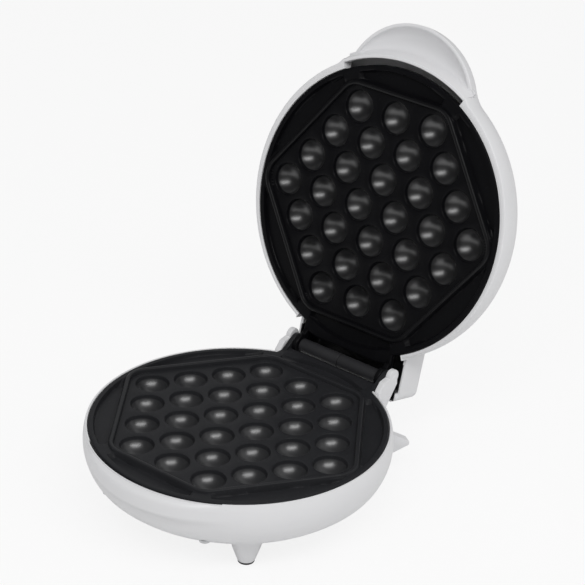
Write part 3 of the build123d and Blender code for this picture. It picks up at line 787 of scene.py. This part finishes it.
plastic = white_plastic("white_plastic")
rearward = math.pi / 2
notch_turn = math.asin(notch_half / notch_circle)
thumb_turn = math.asin(thumb_half_width / thumb_bore)
azimuth = at_steps(
    rearward - notch_turn, rearward + notch_turn, -rearward - thumb_turn, -rearward + thumb_turn)
in_notch = np.abs(azimuth - rearward) < notch_turn
in_thumb = np.abs(azimuth + rearward) < thumb_turn
rim_z = np.where(in_notch, -seat_top, base_rim)
bore = np.where(in_notch, seat_radius + notch_step, np.where(in_thumb, thumb_bore, plate_bore))
level = np.ones(azimuth.shape)
under_rim = rim_z - 0.8 * rim_round
base_ledge = [
    (bore + 0.4 * rim_round, rim_z),
    (bore + 0.1 * rim_round, rim_z - 0.3 * rim_round),
    (bore, np.where(in_notch, np.minimum(under_rim, -seat_top), under_rim)),
    (bore, -seat_top * level),
    (seat_radius * level, -seat_top * level),
    (seat_radius * level, -seat_bottom * level),
]
outer_tilt = np.radians(np.concatenate([
    np.linspace(0, 50, 14)[:-1],
    np.linspace(50, 84, 28)[:-1],
    np.linspace(84, 89, 12),
    [89.3, 89.6, 89.8, 90],
]))
inner_tilt = np.radians(np.concatenate([np.linspace(90, 50, 14), np.linspace(50, 0, 6)[1:]]))
bowl = shell(
    base_skin, azimuth, outer_tilt, inner_tilt, rim_z, -seat_bottom * level, -1, base_wall, base_ledge)
make_piece("base_bowl", [(bowl, True)], in_base, "base", plastic, "body_plastic", "base_housing")

# The four legs, moulded with the bowl: tapered, and run out into the bowl in a fillet. The two in front
# splay;
# the two at the rear stand straighter, below the rear screws.
leg_radius = 6.0
leg_bottom = -58.5
leg_round = 0.8
leg_fillet = 3.5
leg_sides = 72
leg_first_top = -45.0
leg_tuck_in = 0.5
leg_tuck_up = 1.2
bowl_lowest = -60.0
bowl_highest = -8.0
legs = ((53.0, -53.0, 18.0), (-53.0, -53.0, 18.0), (42.0, 81.5, 5.0), (-42.0, 81.5, 5.0))


def bowl_height(x, y):
    """The height of the bowl's outside straight above each point, found by halving."""
    low = np.full(np.shape(x), bowl_lowest)
    high = np.full(np.shape(x), bowl_highest)
    for _ in range(halvings):
        z = (low + high) / 2
        outside = base_skin(x, y, z) > 0
        low = np.where(outside, z, low)
        high = np.where(outside, high, z)
    return low


def leg(x, y, taper):
    """Rings round the leg: a rounded sole, a straight taper up to a fillet below the bowl, then a quarter
    ellipse that runs out along the bowl, and back in under its skin."""
    around_leg = np.linspace(0, 2 * math.pi, leg_sides, endpoint=False)
    unit = np.stack([np.cos(around_leg), np.sin(around_leg)], 1)
    even = np.ones(leg_sides)
    slope = math.tan(math.radians(taper))
    top = leg_first_top * even
    for _ in range(8):
        radius = leg_radius + (top - leg_bottom) * slope
        place = (x, y) + radius[:, None] * unit
        top = bowl_height(place[:, 0], place[:, 1]) - leg_fillet
    radius = leg_radius + (top - leg_bottom) * slope
    rings = [(0 * even, leg_bottom * even), ((leg_radius - 2) * even, leg_bottom * even)]
    for turn in np.radians(np.linspace(0, 90, 5)):
        out = leg_radius - leg_round * (1 - math.sin(turn))
        rings.append((out * even, (leg_bottom + leg_round * (1 - math.cos(turn))) * even))
    above_sole = leg_bottom + leg_round
    for share in np.linspace(0.1, 1, 8):
        rings.append((leg_radius + share * (radius - leg_radius), above_sole + share * (top - above_sole)))
    for turn in np.radians(np.linspace(15, 90, 6)):
        out = radius + leg_fillet * (1 - math.cos(turn))
        place = (x, y) + out[:, None] * unit
        rings.append((out, bowl_height(place[:, 0], place[:, 1]) - leg_fillet * (1 - math.sin(turn))))
    out, height = rings[-1]
    rings.append((out - leg_tuck_in, height + leg_tuck_up))
    rings.append((0 * even, (height.min() + leg_tuck_up) * even))
    rows = [np.concatenate([(x, y) + out[:, None] * unit, height[:, None]], 1) for out, height in rings]
    return np.stack(rows), True


make_piece("legs", [leg(*place) for place in legs], in_base, "base", plastic, "body_plastic")

# The rear ears and the cord fins, moulded with the bowl. The ears are low cheeks with a round knob on top,
# and keep the ends of the hinge pin; the fins stick out below them on both sides, and the cord is wound round
# them for storage.
ear_start = 41.8
ear_width = 4.8
ear_edge = 0.9
ear_corner = 1.6
ear_corners = (
    (-14.2, -2.3), (-9.6, 2.6), (2.8, 4.4), (3.0, -1.6),
    (-2.4, -6.6), (-8.6, -12.6), (-13.6, -22.0), (-16.6, -19.0),
)
ear_step = 0.8
knob_y = 0.9
knob_z = 4.3
knob_radius = 5.2
knob_inset = 0.3
fin_turn = 57.7
fin_half_width = 4.0
fin_edge = 1.0
fin_round = 1.3
fin_step = 1.2
fin_corners = ((97.4, -20.6), (120.9, -34.2), (120.9, -35.4), (97.4, -44.9), (86.0, -40.0))
ear_rounds = [circle(pin_y + y, pin_z + z, ear_corner, 24) for y, z in ear_corners]
ear_outline = spread(around(np.concatenate(ear_rounds)), ear_step)
knob_outline = circle(pin_y + knob_y, pin_z + knob_z, knob_radius)
ears = []
for low in (ear_start, -ear_start - ear_width):
    ears.append(slab(ear_outline, low, low + ear_width, ear_edge))
    ears.append(slab(knob_outline, low + knob_inset, low + ear_width - knob_inset, ear_edge))
fin_rounds = [circle(y, z, fin_round, 24) for y, z in fin_corners]
fin_outline = spread(around(np.concatenate(fin_rounds)), fin_step)
fins = []
for turn in np.radians([fin_turn - 90, 90 - fin_turn]):
    rows, closed = slab(fin_outline, -fin_half_width, fin_half_width, fin_edge)
    flat = rows[..., :2] @ np.array([[math.cos(turn), math.sin(turn)], [-math.sin(turn), math.cos(turn)]])
    fins.append((np.concatenate([flat, rows[..., 2:]], 2), closed))
make_piece("hinge_ears_and_cord_fins", ears + fins, in_base, "base", plastic, "body_plastic")

# The lid's cover: a domed shell with the handle swelling out of its front edge and a box over the hinge at
# its rear, all one moulding in the same white plastic. Its rim steps up where the handle is open to the
# fingers, and at both sides of the box, so that the ears of the base stand in two slots.
lid_height = 41.0
lid_arcs = ((560.0, 8.3), (27.3, 76.0), (36.0, 150.0))
lid_wall = 2.3
lid_forward = 1.5
handle_y = -76.5
handle_height = 32.0
handle_arcs = ((150.0, 17.2), (12.5, 76.0), (42.0, 150.0))
handle_rim = 9.5
handle_fillet = 5.0
slot_half = 50.5
slot_circle = 105.5
hump_half = 46.6
hump_back = 125.4
hump_front = 80.0
hump_top = 32.4
hump_low = 3.4
ear_slot_top = 6.9
ear_slot_front = 93.4
ear_slot_back = 122.2
hump_round = 5.0
hump_down = 40.0
hump_fillet = 3.5
hump_fillet_least = 0.3
hump_fillet_from = 12.0
hump_fillet_over = 8.0
# Where shade is painted near black: the middle of the hinge box's inside in millimetres, and its half sizes
# in metres.
painted_shade_place = (0.0, 111.0, 12.0)
painted_shade_halves = (0.0449, 0.0128, 0.0187)


def handle_distance(x, y, z):
    """Distance outside the handle's own dome."""
    return arc_distance(np.hypot(x, y - handle_y), z, handle_height, handle_arcs)


def lid_skin(x, y, z):
    """Distance outside the dome joined to the handle and the hinge cover; near the ears the joint is left
    sharp."""
    dome = arc_distance(np.hypot(x, y + lid_forward), z, lid_height, lid_arcs)
    tall = hump_top + hump_down
    offsets = (x, y - (hump_back + hump_front) / 2, z - hump_top + tall / 2)
    box = rounded_box_distance(offsets, (hump_half, (hump_back - hump_front) / 2, tall / 2), hump_round)
    fillet = hump_fillet_least + hump_fillet * smooth_step((z - hump_fillet_from) / hump_fillet_over)
    return melt(melt(dome, handle_distance(x, y, z), handle_fillet), box, fillet)


slot_turn = math.asin(slot_half / slot_circle)
hump_turn = math.atan2(hump_half, ear_slot_front)
tail_turn = math.atan2(hump_half, ear_slot_back)
steps = []
for facing, turn in ((-rearward, slot_turn), (rearward, hump_turn), (rearward, tail_turn)):
    steps += [facing - turn, facing + turn]
near_hump = np.radians(np.arange(15, 28, 0.2))
azimuth = np.unique(np.concatenate([at_steps(*steps), rearward - near_hump, rearward + near_hump]))
in_slot = np.abs(azimuth + rearward) < slot_turn
from_rear = np.abs(azimuth - rearward)
in_hump = from_rear < hump_turn
rim_z = np.where(in_hump, ear_slot_top, 0.0)
rim_z = np.where(from_rear < tail_turn, hump_low, rim_z)
rim_z = np.where(in_slot, handle_rim, rim_z)
wall_inside = cast(lid_skin, azimuth[None], np.array([[math.pi / 2]]), rim_z[None], 1, lid_wall)[0]
wall_inside = np.linalg.norm(wall_inside[:, :2], axis=1)
bore = np.where(in_slot | in_hump, wall_inside, plate_bore)
seat = np.where(in_slot | in_hump, wall_inside, seat_radius)
above_rim = rim_z + 0.8 * rim_round
lid_ledge = [
    (bore + 0.4 * rim_round, rim_z),
    (bore + 0.1 * rim_round, rim_z + 0.3 * rim_round),
    (bore, above_rim),
    (bore, np.maximum(above_rim, seat_top)),
    (seat, np.maximum(above_rim, seat_top)),
]
outer_tilt = np.radians(np.concatenate([np.linspace(0, 62, 34)[:-1], np.linspace(62, 90, 44)]))
inner_tilt = np.radians(np.concatenate([np.linspace(90, 60, 18)[:-1], np.linspace(60, 0, 16)]))
inner_start = np.maximum(rim_z + rim_round, seat_bottom)
cover = shell(lid_skin, azimuth, outer_tilt, inner_tilt, rim_z, inner_start, 1, lid_wall, lid_ledge)
# The cover's white, with painted shade near black inside the hinge box.
painted_shade_middle, *painted_shade_ends = in_lid(np.concatenate([[painted_shade_place], painted_shade_place + np.eye(3)]))
painted_shade_sides = [(end - painted_shade_middle) / millimetre for end in painted_shade_ends]
lid_plastic = white_plastic("lid_white_plastic", (painted_shade_middle, painted_shade_sides, painted_shade_halves))
make_piece("lid_cover", [(cover, True)], in_lid, "lid", lid_plastic, "body_plastic", "lid_housing")

# The finger scoop in the handle, moulded with the lid's cover: a lip stands in front of the plate's edge, and
# the scoop runs from it in one smooth round hollow up and over to the inside of the handle's rim.
lip_inner = 104.7
lip_wall = 2.3
lip_draft = math.tan(math.radians(14.0))
lip_round = 0.8
lip_back = 11.0
scoop_skin = 1.1
scoop_inset = 0.05
scoop_roundness = 1.04
scoop_end = math.radians(4.0)
scoop_columns = 97
scoop_least = 0.3
scoop_turn = np.linspace(-slot_turn, slot_turn, scoop_columns) - rearward
scoop_ray = np.stack([np.cos(scoop_turn), np.sin(scoop_turn)], 1)
even = np.ones(scoop_columns)
scoop_depth = lid_wall + scoop_inset
flat_tilt = np.array([[math.pi / 2]])
rim_wall = cast(lid_skin, scoop_turn[None], flat_tilt, handle_rim * even[None], 1, scoop_depth)[0]
lip_outer = lip_inner + lip_wall + handle_rim * lip_draft
half_opening = np.maximum(np.linalg.norm(rim_wall[:, :2], axis=1) - lip_outer, scoop_least) / 2
scoop_middle = lip_outer + half_opening
loop = [(lip_inner, lip_back), (lip_inner, lip_back / 2)]
for turn in np.radians(np.linspace(0, 90, 5)):
    loop.append((lip_inner + lip_round * (1 - math.cos(turn)), lip_round * (1 - math.sin(turn))))
for turn in np.radians(np.linspace(0, 76, 5)):
    loop.append((lip_inner + lip_wall - lip_round * (1 - math.sin(turn)), lip_round * (1 - math.cos(turn))))
edge, edge_z = loop[-1]
for share in np.linspace(0, 1, 9)[1:-1]:
    loop.append((edge + share * (lip_outer - edge), edge_z + share * (handle_rim - edge_z)))
for skin in (0.0, scoop_skin):
    sweep = np.linspace(math.pi, scoop_end, 40)
    for turn in sweep if skin == 0 else sweep[::-2]:
        radius = scoop_middle + (half_opening + skin) * math.cos(turn)
        loop.append((radius, handle_rim + (half_opening * scoop_roundness + skin) * math.sin(turn)))
loop.append(loop[0])
scoop = np.stack([
    np.concatenate([(radius * even)[:, None] * scoop_ray, (z * even)[:, None]], 1) for radius, z in loop])
scoop_patches = [(scoop, False)]
for column in (0, -1):
    middle = np.tile(scoop[:, column].mean(0), (len(scoop), 1))
    scoop_patches.append((np.stack([scoop[:, column], middle], 1), False))
make_piece("finger_scoop", scoop_patches, in_lid, "lid", plastic, "body_plastic")

# The rubber pads under the legs: short round plugs pressed into the legs' ends, with a worn rounded edge.
pad_profile = (
    (0.0, -60.0), (3.0, -60.0), (4.9, -59.97), (5.3, -59.85),
    (5.55, -59.5), (5.6, -59.1), (5.6, -58.3), (0.0, -58.3),
)


def rubber(name, tone, paler):
    """Black rubber: matt, dusty in soft clouds, with a fine grain."""
    finish, place = new_finish(name, {"Specular IOR Level": 0.3})
    dust = place.noise(0.012, 3)
    grain = place.noise(0.0007, 2)
    feed(finish, {
        "Base Color": dust.between(tone, paler),
        "Roughness": dust * 0.15 + 0.6,
        "Normal": grain.bump(0.00008, 0.5),
    })
    return finish


def turned(profile, x, y, count=64):
    """A turned part about an upright axis through x and y, from pairs of radius and height."""
    angle = np.linspace(0, 2 * math.pi, count, endpoint=False)
    rows = [
        np.stack([x + radius * np.cos(angle), y + radius * np.sin(angle), np.full(count, z)], 1)
        for radius, z in profile]
    return np.stack(rows), True


pads = [turned(pad_profile, x, y) for x, y, taper in legs]
pad_rubber = rubber("foot_rubber", (0.01, 0.01, 0.01), (0.025, 0.025, 0.026))
make_piece("rubber_pads", pads, in_base, "base", pad_rubber, "foot_rubber", "foot_pads")


def dress(finish, *nodes):
    """Puts a finish on parts that keep their machined shape."""
    for node in nodes:
        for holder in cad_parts[node].material_slots:
            holder.material = finish


# The cord's rubber gland at the rear of the bowl, and the boss moulded round it.
gland_z = -30.0
gland_boss = (
    (6.7, 86.0), (6.7, 102.2), (7.0, 102.5), (8.2, 102.5),
    (8.6, 102.3), (8.7, 101.9), (8.7, 86.0), (6.7, 86.0),
)
boss_rows, closed = turned(gland_boss, 0, 0)
boss = np.stack([boss_rows[..., 0], boss_rows[..., 2], boss_rows[..., 1] + gland_z], -1)
make_piece("gland_boss", [(boss, closed)], in_base, "base", plastic, "body_plastic")
dress(rubber("gland_rubber", (0.012, 0.012, 0.012), (0.03, 0.03, 0.031)), "cord_gland")


def metal(name, colour, worn, gloss, streak):
    """Bare or plated metal: its tone and gloss drift in patches, over fine marks of the given width in
    metres."""
    finish, place = new_finish(name, {"Metallic": 1.0})
    patch = place.noise(0.01, 3)
    marks = place.noise(streak, 2)
    feed(finish, {
        "Base Color": (patch * 0.7 + marks * 0.3).between(colour, worn),
        "Roughness": patch * 0.12 + marks * 0.1 + gloss,
        "Normal": marks.bump(0.00003, 0.4),
    })
    return finish


def moulded(name, colour, paler, gloss):
    """Plain moulded plastic: faint flow in its tone and gloss, and a fine grain."""
    finish, place = new_finish(name, {"Specular IOR Level": 0.4})
    flow = place.noise(0.02, 2)
    grain = place.noise(0.0009, 2)
    feed(finish, {
        "Base Color": flow.between(colour, paler),
        "Roughness": flow * 0.1 + grain * 0.05 + gloss,
        "Normal": grain.bump(0.00004, 0.4),
    })
    return finish


# The hinge: a steel pin through all the lugs, with two dark plastic sleeves between the plates' lugs.
dress(metal("pin_steel", (0.5, 0.5, 0.51), (0.62, 0.62, 0.63), 0.22, 0.0006), "hinge_pin")
sleeve_plastic = moulded("sleeve_dark", (0.018, 0.018, 0.02), (0.035, 0.035, 0.038), 0.36)
dress(sleeve_plastic, "hinge_sleeve_left", "hinge_sleeve_right")

# Inside the covers: tubular heaters blued by heat, pressed trays of aluminised steel, and zinc-plated
# fixings.
dress(metal("heater_sheath", (0.16, 0.13, 0.12), (0.3, 0.28, 0.3), 0.4, 0.0012), "base_heater", "lid_heater")
tray_metal = metal("tray_metal", (0.55, 0.55, 0.54), (0.68, 0.68, 0.67), 0.3, 0.0008)
dress(tray_metal, "base_reflector", "lid_reflector")
zinc_steel = metal("zinc_steel", (0.52, 0.53, 0.55), (0.66, 0.66, 0.66), 0.26, 0.0007)
dress(zinc_steel, "base_spacers", "base_screws", "lid_nuts")
dress(metal("screw_black", (0.02, 0.02, 0.022), (0.05, 0.05, 0.052), 0.38, 0.0006), "lid_screws")

# The wiring's fittings in the base: a nylon terminal block, a thermostat can and a thermal fuse.
dress(moulded("terminal_plastic", (0.62, 0.6, 0.54), (0.7, 0.68, 0.62), 0.42), "terminal_block")
dress(metal("thermostat_metal", (0.5, 0.5, 0.49), (0.62, 0.62, 0.6), 0.28, 0.0006), "thermostat")
dress(metal("fuse_metal", (0.42, 0.43, 0.44), (0.56, 0.56, 0.57), 0.3, 0.0005), "thermal_fuse")


def lens(name, colour, deeper):
    """Tinted clear plastic with a faint flow in its tint: light goes through it and picks up the colour."""
    finish, place = new_finish(name, {"IOR": 1.49, "Transmission Weight": 0.75})
    flow = place.noise(0.004, 2)
    feed(finish, {
        "Base Color": flow.between(colour, deeper),
        "Roughness": flow * 0.08 + 0.12,
        "Normal": place.noise(0.0008, 2).bump(0.00003, 0.4),
    })
    return finish


# The two tell-tales on top of the lid: a red and a green lens over neon lamps in one plastic holder.
dress(moulded("holder_plastic", (0.5, 0.5, 0.49), (0.58, 0.58, 0.57), 0.45), "lamp_holder")
dress(lens("lens_red", (0.62, 0.03, 0.02), (0.5, 0.015, 0.012)), "power_lens")
dress(lens("lens_green", (0.03, 0.42, 0.07), (0.015, 0.33, 0.05)), "ready_lens")
dress(lens("lamp_glass", (0.8, 0.78, 0.74), (0.72, 0.7, 0.66)), "power_lamp", "ready_lamp")
